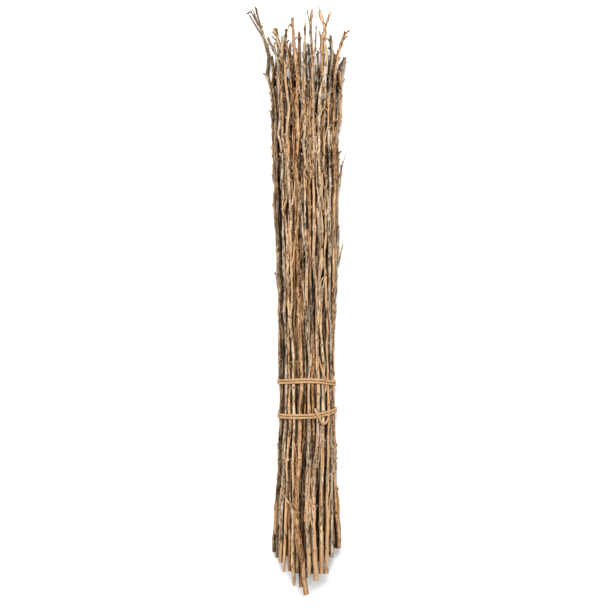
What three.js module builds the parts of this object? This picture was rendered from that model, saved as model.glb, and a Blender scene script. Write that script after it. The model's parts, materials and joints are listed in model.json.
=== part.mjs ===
// A bundle of dry twigs held by two cord ties, lying on its side.
// Millimetres, +Z up. The twigs run along Y, with their cut ends at -Y and their tips at +Y.
import * as THREE from 'three';

// ---- Driving dimensions ----

// Heights along the bundle where every twig has a cross-section.
const stations = [-505, -440, -360, -280, -200, -140, -60, 20, 100, 180, 260, 340, 400, 450, 505];

// The body's elliptical section and the section of the inner twigs' solid, as [y, half size] points.
const bodyWidth = [[-505, 61], [-430, 57], [-300, 51], [-170, 47.5], [0, 49.5], [200, 54], [340, 58]];
const bodyHeight = [[-505, 45], [-430, 46], [-300, 43.5], [-170, 40], [0, 43], [200, 46], [505, 46]];
const innerWidth = [[-470, 38], [-300, 36], [-170, 32], [0, 34], [200, 37], [340, 34], [400, 24], [440, 14]];
const innerHeight = [[-470, 27], [-300, 28], [-170, 26], [0, 28], [200, 30], [340, 26], [400, 19], [440, 12]];
const innerEnds = [-470, 440];
const axisHeight = 45;

const underTwigCount = 22;
const secondTwigCount = 8;
const twigGap = 0.6;
const twigSides = 6;
const innerSides = 12;

const cord = { radius: 2, gap: 0.6, sides: 6, step: 8.5 };
const upperTie = { y: -139, riseLeft: -2.5, riseRight: -7, turns: 2.15, startAngle: -1.9 };
const lowerTie = { y: -199.5, riseLeft: 0, riseRight: 7, turns: 2.15, startAngle: -1.9 };
// The lower tie's free end lies over its own turns, loops below them and runs into them: [x, y, lift].
const tailRoute = [[13.5, -187, 1], [15.5, -191.5, 3.8], [17.5, -195.5, 5], [20.5, -201, 5], [22.5, -206, 3.6],
  [24.5, -210.5, 1.2], [27.5, -213.7, 0.2], [31, -213, 0], [34.5, -208.5, 0], [36.5, -203.5, 0]];

const barkColours = {
  grey: 0x9c8a74,
  tan: 0xa98a66,
  straw: 0xd2b48a,
  orange: 0xb98654,
  pink: 0xb18c72,
  brown: 0x6f533c,
};
const cordColour = 0xcfaa7d;

// ---- Twigs of the upper face, left to right ----

// route: [x, y] points from the cut end to the tip. radii: at the cut end and at the tip.
// depth: how far the twig lies below the face's own surface.
const faceTwigs = [
  { name: 'fan_tipped_twig', bark: 'grey', radii: [3.2, 1.6], depth: 16,
    route: [[-56, -438], [-51, -340], [-45, -170], [-49, 30], [-53, 140], [-61, 340], [-72, 426], [-86, 498]],
  },
  { name: 'left_edge_twig', bark: 'brown', radii: [2.7, 1.5], depth: 4,
    route: [[-51, -443], [-47, -340], [-41, -170], [-45, 30], [-48, 140], [-52, 330], [-59, 418]],
  },
  { name: 'hooked_tip_twig', bark: 'grey', radii: [3.4, 1.4], depth: 0,
    route: [[-45, -449], [-41, -340], [-34, -170], [-37, 30], [-40, 140], [-46, 330], [-50, 420], [-70, 441]],
  },
  { name: 'slender_left_twig', bark: 'tan', radii: [2.4, 1.4], depth: 0,
    route: [[-38, -464], [-32, -340], [-28, -170], [-32, 30], [-35, 140], [-40, 330], [-41, 446]],
  },
  { name: 'crossing_brown_twig', bark: 'orange', radii: [2.6, 1.3], depth: 5,
    route: [[-30, -463], [-31, -340], [-16, -170], [-19, 30], [-22, 140], [-27, 330], [-35, 443]],
  },
  { name: 'straight_straw_twig', bark: 'straw', radii: [3, 1.7], depth: 0,
    route: [[-22, -486], [-23, -340], [-21, -170], [-24, 30], [-28, 140], [-33, 330], [-41, 425], [-57, 461]],
  },
  { name: 'dark_centre_twig', bark: 'brown', radii: [3.9, 1.5], depth: 8,
    route: [[-13, -489], [-10, -340], [-3, -170], [-8, 30], [-10, 140], [-9, 330], [-15, 452]],
  },
  { name: 'longest_twig', bark: 'orange', radii: [4.4, 2.7], depth: 0,
    route: [[0, -500], [-17, -350], [-8, -170], [-12, 30], [-17, 140], [-15, 330], [-19, 435], [-25, 475]],
  },
  { name: 'knotty_grey_twig', bark: 'grey', radii: [3.5, 1.7], depth: 0,
    route: [[3, -471], [-1, -340], [3.5, -170], [0, 30], [-2, 140], [-4, 330], [-4, 461]],
  },
  { name: 'thin_orange_twig', bark: 'orange', radii: [2.6, 1.4], depth: 4,
    route: [[20, -459], [13, -340], [10.5, -170], [6, 30], [4, 140], [4, 330], [2, 431]],
  },
  { name: 'tall_forked_twig', bark: 'pink', radii: [4.1, 1.9], depth: 0,
    route: [[15, -477], [8, -340], [18.5, -170], [14, 30], [12, 140], [9, 330], [11, 436], [8, 495]],
  },
  { name: 'blunt_tipped_twig', bark: 'straw', radii: [3.5, 2.4], depth: 0,
    route: [[24, -466], [23, -340], [27, -170], [22, 30], [22, 140], [20, 330], [36, 430], [22, 487]],
  },
  { name: 'thin_crossing_twig', bark: 'tan', radii: [3.3, 1.4], depth: 6,
    route: [[31, -467], [33, -340], [34, -170], [30, 30], [30, 140], [28, 330], [25, 432], [37, 486]],
  },
  { name: 'short_tipped_twig', bark: 'grey', radii: [3.2, 1.7], depth: 0,
    route: [[42, -441], [42, -340], [39.5, -170], [36, 30], [39, 140], [38, 330], [42, 447]],
  },
  { name: 'thick_orange_twig', bark: 'orange', radii: [4.1, 2.2], depth: 2,
    route: [[54, -427], [48, -340], [44, -170], [44, 30], [45, 140], [45, 330], [51, 424], [66, 459]],
  },
  { name: 'right_edge_twig', bark: 'grey', radii: [3, 2.6], depth: 18,
    route: [[62, -419], [55, -340], [46, -170], [50, 30], [51, 140], [51, 330], [57, 390], [68, 416]],
  },
];

// ---- Side branches at the main forks ----

// fork: height of the fork. side: direction in which the branch leaves, across the bundle.
// tip: [x, y] of its tip and how far that is above the parent's line.
const branches = [
  { name: 'fan_outer_branch', parent: 'fan_tipped_twig', fork: 448, side: [-1, 0.1],
    tip: [-101, 489, 0], radii: [1.4, 0.9] },
  { name: 'fan_inner_branch', parent: 'fan_tipped_twig', fork: 458, side: [-0.4, 1],
    tip: [-92, 495, 7], radii: [1.3, 0.9] },
  { name: 'hooked_twig_branch', parent: 'hooked_tip_twig', fork: 398, side: [-0.2, 1],
    tip: [-57, 437, 6], radii: [1.4, 0.9] },
  { name: 'forked_twig_branch', parent: 'tall_forked_twig', fork: 455, side: [-1, 0.3],
    tip: [-2, 488, 3], radii: [1.3, 0.8] },
  { name: 'forked_twig_spur', parent: 'tall_forked_twig', fork: 418, side: [1, 0.5],
    tip: [17, 460, 4], radii: [1.6, 1.1] },
  { name: 'edge_twig_branch', parent: 'right_edge_twig', fork: 372, side: [1, 0.2],
    tip: [72, 410, 2], radii: [2, 1.5] },
  { name: 'left_side_shoot', parent: 'fan_tipped_twig', fork: 206, side: [-1, 0.1],
    tip: [-62, 232, 3], radii: [1.3, 0.9] },
  { name: 'right_upper_shoot', parent: 'right_edge_twig', fork: 202, side: [1, 0.1],
    tip: [63, 236, 2], radii: [1.4, 0.9] },
  { name: 'right_lower_shoot', parent: 'right_edge_twig', fork: 62, side: [1, 0.1],
    tip: [65, 95, 2], radii: [1.5, 0.9] },
];

// ---- Helpers ----

// A repeatable random number source.
function makeRandom(seed) {
  let state = seed;
  return () => {
    state = (state + 0x6d2b79f5) | 0;
    let t = Math.imul(state ^ (state >>> 15), 1 | state);
    t = (t + Math.imul(t ^ (t >>> 7), 61 | t)) ^ t;
    return ((t ^ (t >>> 14)) >>> 0) / 4294967296;
  };
}

const random = makeRandom(41);
const between = (low, high) => low + (high - low) * random();
const mix = (a, b, t) => a + (b - a) * t;

// Value at y of a list of [y, value] points, with eased steps between them and a level run past the ends.
function profile(points, y) {
  const next = points.findIndex((p) => p[0] > y);
  if (next === 0) return points[0][1];
  if (next < 0) return points[points.length - 1][1];
  const [from, to] = [points[next - 1], points[next]];
  return mix(from[1], to[1], THREE.MathUtils.smoothstep(y, from[0], to[0]));
}

// Height of the body's upper surface above its axis at x, y.
function faceRise(x, y) {
  const across = Math.min(Math.abs(x) / profile(bodyWidth, y), 1);
  return profile(bodyHeight, y) * Math.sqrt(1 - across * across);
}

// x at height y along a route of [x, y] points, extended straight past its ends.
function routeX(route, y) {
  const last = route.length - 1;
  const next = THREE.MathUtils.clamp(route.findIndex((p) => p[1] > y), -1, last);
  const high = next < 0 ? last : Math.max(next, 1);
  const [from, to] = [route[high - 1], route[high]];
  return mix(from[0], to[0], (y - from[1]) / (to[1] - from[1]));
}

// ---- Where each twig would like to lie ----

// A twig is a chain of centre points, one at each station, with its ends at butt and tip heights.
function makeChain(name, barkName, butt, tip, radii, place) {
  const rest = stations.map((y) => place(THREE.MathUtils.clamp(y, butt - 30, tip + 30)));
  return { name, bark: barkName, butt, tip, radii, rest, at: rest.map((p) => p.clone()), parent: null };
}

const radiusAt = (chain, y) => mix(...chain.radii, (y - chain.butt) / (chain.tip - chain.butt));

function faceChain(spec) {
  const { route, depth } = spec;
  const wave = [between(0, 6.3), between(90, 150)];
  return makeChain(spec.name, spec.bark, route[0][1], route[route.length - 1][1], spec.radii, (y) => {
    const x = routeX(route, y);
    const sway = 1.5 * Math.sin(y / wave[1] * 2 + wave[0]);
    return new THREE.Vector2(x, axisHeight + faceRise(x, y) * 0.97 - 3.5 - depth + sway);
  });
}

// A twig that keeps near one angle round the bundle, drifts a little and waves.
function ringChain(name, angle, inset, butt, tip) {
  const drift = between(-0.22, 0.22);
  const wave = [between(0, 6.3), between(70, 130), between(1, 3)];
  const thick = between(2.4, 4);
  const barkName = Object.keys(barkColours)[Math.floor(between(0, 6))];
  return makeChain(name, barkName, butt, tip, [thick, between(1.2, 1.9)], (y) => {
    const turn = angle + drift * y / 400 + 0.03 * Math.sin(y / wave[1] + wave[0]);
    const x = (profile(bodyWidth, y) - inset) * Math.cos(turn);
    const z = (profile(bodyHeight, y) - inset) * Math.sin(turn);
    return new THREE.Vector2(x + wave[2] * Math.sin(y / wave[1] * 2), axisHeight + z);
  });
}

// Cut ends reach furthest along the middle of the bundle and step back to its sides.
const buttHeight = (angle) => mix(-478, -420, Math.abs(Math.cos(angle))) + between(-16, 16);

function ringChains(label, count, fromAngle, toAngle, inset) {
  return Array.from({ length: count }, (_, i) => {
    const angle = mix(fromAngle, toAngle, (i + 0.5) / count) + between(-0.03, 0.03);
    return ringChain(`${label}_${i + 1}`, angle, inset, buttHeight(angle), between(335, 462));
  });
}

function branchChain(spec, parent) {
  const foot = pointAt(parent.rest, spec.fork);
  const [tipX, tipY, rise] = spec.tip;
  const start = new THREE.Vector2(...spec.side).setLength(6).add(foot);
  const chain = makeChain(spec.name, parent.bark, spec.fork, tipY, spec.radii, (y) => {
    const t = (y - spec.fork) / (tipY - spec.fork);
    return new THREE.Vector2(mix(start.x, tipX, t), mix(start.y, foot.y + rise, t));
  });
  return Object.assign(chain, { parent });
}

// ---- Settling the twigs against each other ----

// Segment number and fraction along it at height y.
function segmentAt(y) {
  const next = stations.findIndex((s) => s > y);
  const k = (next < 0 ? stations.length : next) - 1;
  const segment = THREE.MathUtils.clamp(k, 0, stations.length - 2);
  return [segment, (y - stations[segment]) / (stations[segment + 1] - stations[segment])];
}

function pointAt(points, y) {
  const [k, t] = segmentAt(y);
  return points[k].clone().lerp(points[k + 1], t);
}

// Moves a chain by push at a fraction t of segment k.
function shift(chain, k, t, push) {
  const share = 1 / ((1 - t) * (1 - t) + t * t);
  chain.at[k].addScaledVector(push, (1 - t) * share);
  chain.at[k + 1].addScaledVector(push, t * share);
}

// Pushes two chains apart at fraction t of segment k where they are closer than their radii and the gap.
function separate(a, b, k, t) {
  const y = mix(stations[k], stations[k + 1], t);
  const space = a.at[k].clone().lerp(a.at[k + 1], t).sub(b.at[k].clone().lerp(b.at[k + 1], t));
  const lack = radiusAt(a, y) + radiusAt(b, y) + twigGap - space.length();
  if (lack <= 0) return 0;
  const push = space.lengthSq() > 1e-6 ? space.normalize() : new THREE.Vector2(0, 1);
  const shareA = a.parent === b ? 1 : b.parent === a ? 0 : 0.5;
  shift(a, k, t, push.clone().multiplyScalar(lack * shareA));
  shift(b, k, t, push.multiplyScalar(-lack * (1 - shareA)));
  return lack;
}

// Fractions of segment k to test for a pair: both ends of the shared run and the closest point.
function testFractions(a, b, k) {
  const length = stations[k + 1] - stations[k];
  const low = (Math.max(a.butt, b.butt, stations[k]) - stations[k]) / length;
  const high = (Math.min(a.tip, b.tip, stations[k + 1]) - stations[k]) / length;
  if (low >= high) return [];
  const start = a.at[k].clone().sub(b.at[k]);
  const change = a.at[k + 1].clone().sub(b.at[k + 1]).sub(start);
  const nearest = -start.dot(change) / Math.max(change.lengthSq(), 1e-9);
  return [low, THREE.MathUtils.clamp(nearest, low, high), high];
}

function separateAll(chains) {
  let worst = 0;
  for (let i = 0; i < chains.length; i += 1) {
    for (let j = i + 1; j < chains.length; j += 1) {
      for (let k = 0; k < stations.length - 1; k += 1) {
        for (const t of testFractions(chains[i], chains[j], k)) {
          worst = Math.max(worst, separate(chains[i], chains[j], k, t));
        }
      }
    }
  }
  return worst;
}

// How far out of an ellipse a point is, as a share of the ellipse's size.
const outness = (p, a, b) => Math.hypot(p.x / a, (p.y - axisHeight) / b);

function scaleFromAxis(p, factor) {
  p.set(p.x * factor, axisHeight + (p.y - axisHeight) * factor);
}

// Keeps a chain above the floor, outside the inner twigs' solid and, near the ties, inside the body.
function contain(chain) {
  chain.at.forEach((p, k) => {
    const y = stations[k];
    const r = radiusAt(chain, THREE.MathUtils.clamp(y, chain.butt, chain.tip));
    const bodyShare = outness(p, profile(bodyWidth, y) - r, profile(bodyHeight, y) - r);
    const tied = Math.abs(y - (upperTie.y + lowerTie.y) / 2) < 120;
    if (bodyShare > 1 && tied) scaleFromAxis(p, 1 / bodyShare);
    const clear = r + twigGap + 0.4;
    const innerShare = outness(p, profile(innerWidth, y) + clear, profile(innerHeight, y) + clear);
    if (innerShare < 1 && y < innerEnds[1] + 20) scaleFromAxis(p, 1 / innerShare);
    p.y = Math.max(p.y, r);
  });
}

// Draws a chain towards its rest shape and evens out its bends.
function relax(chain, pull) {
  const offset = chain.at.map((p, k) => p.clone().sub(chain.rest[k]));
  chain.at.forEach((p, k) => {
    const before = offset[Math.max(k - 1, 0)];
    const after = offset[Math.min(k + 1, offset.length - 1)];
    const even = before.clone().add(after).multiplyScalar(0.5).sub(offset[k]);
    p.addScaledVector(even, 0.35).addScaledVector(offset[k], -pull);
  });
}

// Holds the foot of a branch against its parent.
function attach(chain) {
  const [k, t] = segmentAt(chain.butt);
  const gap = radiusAt(chain, chain.butt) + radiusAt(chain.parent, chain.butt) + twigGap;
  const space = pointAt(chain.at, chain.butt).sub(pointAt(chain.parent.at, chain.butt));
  shift(chain, k, t, space.clone().setLength(gap).sub(space));
}

function settle(chains) {
  const softRounds = 260;
  const hardRounds = 400;
  for (let round = 0; round < softRounds; round += 1) {
    chains.forEach((c) => relax(c, 0.04));
    chains.filter((c) => c.parent).forEach(attach);
    separateAll(chains);
    chains.forEach(contain);
  }
  for (let round = 0; round < hardRounds; round += 1) {
    const worst = separateAll(chains);
    chains.forEach(contain);
    if (worst < 0.05) break;
  }
}

// ---- Solids ----

// Heights of a solid's sections: its two ends and the stations well inside them.
function sectionHeights(low, high) {
  const clear = 10;
  return [low, ...stations.filter((y) => y > low + clear && y < high - clear), high];
}

// A unit cylinder whose sections are moved to the given heights, centred and sized by section(y).
function bentCylinder(heights, sides, section) {
  const geometry = new THREE.CylinderGeometry(1, 1, 1, sides, heights.length - 1);
  const vertex = geometry.attributes.position;
  for (let i = 0; i < vertex.count; i += 1) {
    const y = heights[Math.round((vertex.getY(i) + 0.5) * (heights.length - 1))];
    const { centre, halfWidth, halfHeight } = section(y);
    vertex.setXYZ(i, centre.x + halfWidth * vertex.getX(i), y, centre.y + halfHeight * vertex.getZ(i));
  }
  geometry.computeVertexNormals();
  return geometry;
}

function twigGeometry(chain) {
  return bentCylinder(sectionHeights(chain.butt, chain.tip), twigSides, (y) => {
    const r = radiusAt(chain, y);
    return { centre: pointAt(chain.at, y), halfWidth: r, halfHeight: r };
  });
}

function innerGeometry() {
  const centre = new THREE.Vector2(0, axisHeight);
  return bentCylinder(sectionHeights(...innerEnds), innerSides, (y) => (
    { centre, halfWidth: profile(innerWidth, y), halfHeight: profile(innerHeight, y) }));
}

// ---- Ties ----

// Centre of a cord pulled tight round the twigs at height y, where its outward direction has this angle.
function cordPoint(chains, y, angle) {
  const out = new THREE.Vector2(Math.cos(angle), Math.sin(angle));
  const reach = (c) => pointAt(c.at, y).dot(out) + radiusAt(c, y);
  const held = chains.filter((c) => c.butt < y && c.tip > y);
  const outer = held.reduce((best, c) => (reach(c) > reach(best) ? c : best));
  return pointAt(outer.at, y).addScaledVector(out, radiusAt(outer, y) + cord.gap + cord.radius);
}

// Points of a tie's turns, close together, one cord beside the other.
function turnPoints(chains, tie) {
  const samples = Math.round(tie.turns * 240);
  const pitch = 2 * cord.radius + cord.gap;
  return Array.from({ length: samples + 1 }, (_, i) => {
    const turned = tie.turns * i / samples;
    const across = cordPoint(chains, tie.y, tie.startAngle - turned * 2 * Math.PI);
    const share = across.x / profile(bodyWidth, tie.y);
    const rise = (share > 0 ? tie.riseRight : tie.riseLeft) * share * share;
    return new THREE.Vector3(across.x, tie.y + pitch * (turned - 1) + rise, across.y);
  });
}

// The lower tie's tail, over both turns and back up to their edge.
function tailPoints(turns) {
  const top = turns.reduce((best, p) => (p.z > best.z ? p : best));
  const level = top.z - faceRise(top.x, top.y);
  return tailRoute.map(([x, y, lift]) => new THREE.Vector3(x, y, level + faceRise(x, y) + lift));
}

// Every point that lies at least one step after the last one kept.
function thinned(points, step) {
  const kept = [points[0]];
  points.forEach((p) => {
    if (p.distanceTo(kept[kept.length - 1]) >= step) kept.push(p);
  });
  return kept;
}

function cordGeometry(points) {
  const curve = new THREE.CatmullRomCurve3(thinned(points, cord.step));
  const corners = Array.from({ length: cord.sides }, (_, i) => {
    const angle = 2 * Math.PI * i / cord.sides;
    return new THREE.Vector2(cord.radius * Math.cos(angle), cord.radius * Math.sin(angle));
  });
  const steps = Math.round(curve.getLength() / cord.step);
  return new THREE.ExtrudeGeometry(new THREE.Shape(corners), { extrudePath: curve, steps, curveSegments: 1 });
}

// ---- Assembly ----

function addPiece(group, name, geometry, color) {
  const material = new THREE.MeshStandardMaterial({ color, roughness: 0.85, metalness: 0 });
  const mesh = new THREE.Mesh(geometry, material);
  mesh.name = name;
  group.add(mesh);
}

function buildChains() {
  const faces = faceTwigs.map(faceChain);
  const seconds = ringChains('second_layer_twig', secondTwigCount, 0.15 * Math.PI, 0.85 * Math.PI, 13);
  const unders = ringChains('under_twig', underTwigCount, -1.04 * Math.PI, 0.04 * Math.PI, 4);
  const trunks = [...faces, ...seconds, ...unders];
  const sides = branches.map((spec) => branchChain(spec, trunks.find((c) => c.name === spec.parent)));
  return [...trunks, ...sides];
}

// Moves the group so that the origin is under the middle of its box.
function standOnOrigin(group) {
  const box = new THREE.Box3().setFromObject(group, true);
  const centre = box.getCenter(new THREE.Vector3());
  group.position.set(-centre.x, -centre.y, -box.min.z);
}

function buildBundle() {
  const group = new THREE.Group();
  const chains = buildChains();
  settle(chains);
  chains.forEach((c) => addPiece(group, c.name, twigGeometry(c), barkColours[c.bark]));
  addPiece(group, 'inner_twigs', innerGeometry(), barkColours.brown);
  addPiece(group, 'upper_tie', cordGeometry(turnPoints(chains, upperTie)), cordColour);
  const lowerTurns = turnPoints(chains, lowerTie);
  addPiece(group, 'lower_tie', cordGeometry(lowerTurns), cordColour);
  addPiece(group, 'tie_tail', cordGeometry(tailPoints(lowerTurns)), cordColour);
  standOnOrigin(group);
  return group;
}

export default buildBundle();
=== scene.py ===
import json
import math
import bpy
import numpy as np
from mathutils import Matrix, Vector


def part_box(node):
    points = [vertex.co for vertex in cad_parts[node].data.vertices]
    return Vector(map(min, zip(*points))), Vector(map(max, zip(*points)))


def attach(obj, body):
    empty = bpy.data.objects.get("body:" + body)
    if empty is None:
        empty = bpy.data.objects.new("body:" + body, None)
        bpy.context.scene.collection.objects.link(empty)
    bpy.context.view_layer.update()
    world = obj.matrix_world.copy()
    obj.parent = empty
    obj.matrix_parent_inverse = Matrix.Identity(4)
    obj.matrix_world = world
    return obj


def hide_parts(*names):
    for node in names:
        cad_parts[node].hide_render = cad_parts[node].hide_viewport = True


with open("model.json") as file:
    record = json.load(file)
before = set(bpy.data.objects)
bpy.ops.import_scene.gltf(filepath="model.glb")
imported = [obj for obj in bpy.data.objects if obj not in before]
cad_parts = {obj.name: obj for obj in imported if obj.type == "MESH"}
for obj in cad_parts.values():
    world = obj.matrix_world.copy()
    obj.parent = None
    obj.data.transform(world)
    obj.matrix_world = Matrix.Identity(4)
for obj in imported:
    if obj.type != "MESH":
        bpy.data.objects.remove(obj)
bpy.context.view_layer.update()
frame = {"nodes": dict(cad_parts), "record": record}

slotOf = {part["node"]: part["material_slot"] for part in frame["record"]["subparts"]}
tieNames = ["upper_tie", "lower_tie", "tie_tail"]
innerName = "inner_twigs"
branchNames = [n for n in frame["nodes"] if n.endswith(("_branch", "_spur", "_shoot"))]
trunkNames = [n for n in sorted(frame["nodes"]) if n not in branchNames + tieNames + [innerName]]
print("frame loaded,", len(frame["nodes"]), "solids")


# camera straight above the bundle, with the tips at the top of the view
# shown is how much it sees across, in metres, at the height of the bundle's axis

view = {"lens": 85.0, "sensor": 36.0, "shown": 1.0465, "axisHeight": 0.05, "middle": (0.0119, -0.0102)}

cameraData = bpy.data.cameras.new("camera")
cameraData.lens = view["lens"]
cameraData.sensor_width = view["sensor"]
camera = bpy.data.objects.new("camera", cameraData)
camera.location = (*view["middle"], view["axisHeight"] + view["shown"] * view["lens"] / view["sensor"])
bpy.context.scene.collection.objects.link(camera)
bpy.context.scene.camera = camera


# shader nodes

class Wire:
    # one socket of a graph, used in sums like a number

    def __init__(self, graph, socket):
        self.graph = graph
        self.socket = socket

    def __add__(self, other):
        return self.graph.sum("ADD", self, other)

    def __sub__(self, other):
        return self.graph.sum("SUBTRACT", self, other)

    def __rsub__(self, other):
        return self.graph.sum("SUBTRACT", other, self)

    def __mul__(self, other):
        return self.graph.sum("MULTIPLY", self, other)


class Graph:
    # the node tree of one material

    def __init__(self, name):
        self.material = bpy.data.materials.new(name)
        self.material.use_nodes = True
        self.tree = self.material.node_tree
        self.tree.nodes.clear()

    def node(self, kind, settings=None, inputs=None, output=0):
        made = self.tree.nodes.new(kind)
        for key, value in (settings or {}).items():
            if key == "stops":
                self.fillRamp(made.color_ramp, value)
            else:
                setattr(made, key, value)
        for key, value in (inputs or {}).items():
            if isinstance(value, Wire):
                self.tree.links.new(value.socket, made.inputs[key])
            else:
                made.inputs[key].default_value = value
        return Wire(self, made.outputs[output]) if made.outputs else None

    def fillRamp(self, ramp, stops):
        while len(ramp.elements) < len(stops):
            ramp.elements.new(1.0)
        for element, (place, colour) in zip(ramp.elements, stops):
            element.position = place
            element.color = (*colour, 1.0)

    def sum(self, operation, a, b):
        return self.node("ShaderNodeMath", {"operation": operation}, {0: a, 1: b})

    def attribute(self, name, output="Vector"):
        return self.node("ShaderNodeAttribute", {"attribute_name": name}, output=output)

    def parts(self, vector):
        split = self.node("ShaderNodeSeparateXYZ", inputs={0: vector})
        outputs = split.socket.node.outputs
        return [Wire(self, socket) for socket in outputs]

    def noise(self, place, scale, detail=3.0, roughness=0.55, distortion=0.0):
        stretched = self.node("ShaderNodeVectorMath", {"operation": "MULTIPLY"}, {0: place, 1: scale})
        values = {"Vector": stretched, "Scale": 1.0, "Detail": detail,
                  "Roughness": roughness, "Distortion": distortion}
        return self.node("ShaderNodeTexNoise", inputs=values)

    def step(self, value, low, high):
        settings = {"interpolation_type": "SMOOTHSTEP"}
        return self.node("ShaderNodeMapRange", settings, {"Value": value, "From Min": low, "From Max": high})

    def ramp(self, value, stops):
        return self.node("ShaderNodeValToRGB", {"stops": stops}, {0: value})

    def blend(self, factor, a, b, mode="MIX"):
        settings = {"data_type": "RGBA", "blend_type": mode}
        return self.node("ShaderNodeMix", settings, {0: factor, 6: a, 7: b}, output=2)

    def dim(self, colour, factor):
        return self.node("ShaderNodeVectorMath", {"operation": "SCALE"}, {0: colour, 3: factor})

    def finish(self, colour, roughness, height, depth, constants=None):
        values = {"Height": height, "Strength": 1.0, "Distance": depth}
        normal = self.node("ShaderNodeBump", inputs=values)
        inputs = {"Base Color": colour, "Roughness": roughness, "Normal": normal, **(constants or {})}
        shader = self.node("ShaderNodeBsdfPrincipled", inputs=inputs)
        self.node("ShaderNodeOutputMaterial", inputs={"Surface": shader})
        return self.material


def linear(red, green, blue):
    # a screen colour, 0 to 255, as the shader's light values
    return tuple((channel / 255) ** 2.2 for channel in (red, green, blue))


def solid(colour):
    return (*colour, 1.0)


# bark and wood finishes, one for each slot of the record

barkFinishes = {
    "grey_bark": {"dark": (62, 47, 34), "mid": (158, 136, 112), "light": (209, 189, 163),
                  "under": (182, 147, 112), "cracks": 0.7, "specks": 0.7, "rough": 0.88, "peel": (0.1, 0.6)},
    "tan_bark": {"dark": (70, 50, 34), "mid": (164, 129, 94), "light": (206, 179, 147),
                 "under": (187, 147, 107), "cracks": 0.6, "specks": 0.6, "rough": 0.85, "peel": (0.15, 0.7)},
    "straw_wood": {"dark": (96, 73, 50), "mid": (178, 148, 113), "light": (210, 187, 157),
                   "under": (170, 132, 96), "cracks": 0.4, "specks": 0.5, "rough": 0.7, "peel": (0.05, 0.5)},
    "orange_wood": {"dark": (78, 52, 34), "mid": (168, 124, 83), "light": (205, 167, 128),
                    "under": (148, 106, 72), "cracks": 0.45, "specks": 0.5, "rough": 0.75, "peel": (0.1, 0.6)},
    "pink_bark": {"dark": (76, 56, 42), "mid": (167, 134, 104), "light": (206, 178, 151),
                  "under": (188, 150, 114), "cracks": 0.45, "specks": 0.6, "rough": 0.8, "peel": (0.05, 0.5)},
    "brown_bark": {"dark": (42, 31, 23), "mid": (111, 86, 62), "light": (162, 135, 107),
                   "under": (162, 121, 87), "cracks": 0.6, "specks": 0.5, "rough": 0.9, "peel": (0.05, 0.4)},
}
# noise scales go across, across and along the twig. gap is the colour of the painted shade between the twigs
barkGrain = {
    "streaks": (900, 900, 32), "clouds": (150, 150, 22), "mottles": (420, 420, 150), "flakes": (210, 210, 13),
    "cracks": (700, 700, 26), "pores": (430, 430, 300), "gap": solid(linear(22, 11, 5)), "paintedShadeShare": 0.97,
    "stainShare": 0.84, "specular": 0.1, "bump": 0.0006,
}


def makeBark(name, finish):
    graph = Graph(name)
    grain = graph.attribute("grain")
    tone, peel, knot = graph.parts(graph.attribute("look"))
    deep = graph.attribute("deep", "Fac")
    streaks = graph.noise(grain, barkGrain["streaks"], detail=4.0, roughness=0.6)
    clouds = graph.noise(grain, barkGrain["clouds"], detail=3.0)
    mottles = graph.noise(grain, barkGrain["mottles"], detail=3.0, roughness=0.6)
    shade = streaks * 0.8 + clouds * 0.8 + mottles * 0.75 - 0.675
    dark, mid, light, bareWood = (linear(*finish[key]) for key in ("dark", "mid", "light", "under"))
    bark = graph.ramp(shade, [(0.35, dark), (0.5, mid), (0.66, light)])
    # bark has come away in long patches
    flakes = graph.noise(grain, barkGrain["flakes"], detail=2.5, roughness=0.5) + (mottles - 0.5) * 0.12
    edge = 0.74 - peel * 0.42
    bare = graph.step(flakes, edge, edge + 0.025)
    lip = graph.step(flakes, edge - 0.02, edge) - bare
    under = graph.dim(bareWood, streaks * 0.7 + 0.68)
    colour = graph.blend(bare, bark, under)
    # cracks along the grain and small dark pores
    cracks = graph.step(graph.noise(grain, barkGrain["cracks"], detail=2.0), 0.57, 0.65) * (1 - bare)
    pores = graph.step(graph.noise(grain, barkGrain["pores"], detail=1.0), 0.66, 0.72)
    stain = cracks * finish["cracks"] + pores * finish["specks"] + lip * 0.4 + knot * 1.1
    colour = graph.dim(colour, 1 - graph.step(stain, 0.0, 1.15) * barkGrain["stainShare"])
    colour = graph.dim(colour, tone * 0.45 + 0.62)
    # painted shade: the colour goes towards the gap colour where the other twigs hide the sky
    colour = graph.blend(deep * barkGrain["paintedShadeShare"], colour, barkGrain["gap"])
    height = streaks * 0.5 + mottles * 0.45 - cracks * 0.8 - bare * 0.5 - pores * 0.3
    roughness = bare * -0.14 + finish["rough"]
    constants = {"Specular IOR Level": barkGrain["specular"]}
    return graph.finish(colour, roughness, height, barkGrain["bump"], constants)


def makeCutWood(name):
    graph = Graph(name)
    grain = graph.attribute("grain")
    across, up, _ = graph.parts(grain)
    tone, _, knot = graph.parts(graph.attribute("look"))
    reach = graph.node("ShaderNodeMath", {"operation": "SQRT"}, {0: across * across + up * up})
    rings = graph.node("ShaderNodeMath", {"operation": "SINE"}, {0: reach * 7500.0})  # one in 0.84 mm
    fibres = graph.noise(grain, (1600, 1600, 300), detail=3.0)
    pith = 1 - graph.step(reach, 0.0003, 0.0007)
    stops = [(0.25, linear(120, 84, 54)), (0.5, linear(196, 158, 112)), (0.75, linear(226, 196, 152))]
    wood = graph.ramp(fibres * 0.8 + rings * 0.05 + 0.1, stops)
    wood = graph.dim(wood, (1 - pith * 0.55) * (tone * 0.5 + 0.75) * (1 - knot * 0.5))
    return graph.finish(wood, fibres * 0.1 + 0.75, fibres + rings * 0.1, 0.0004)


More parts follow.
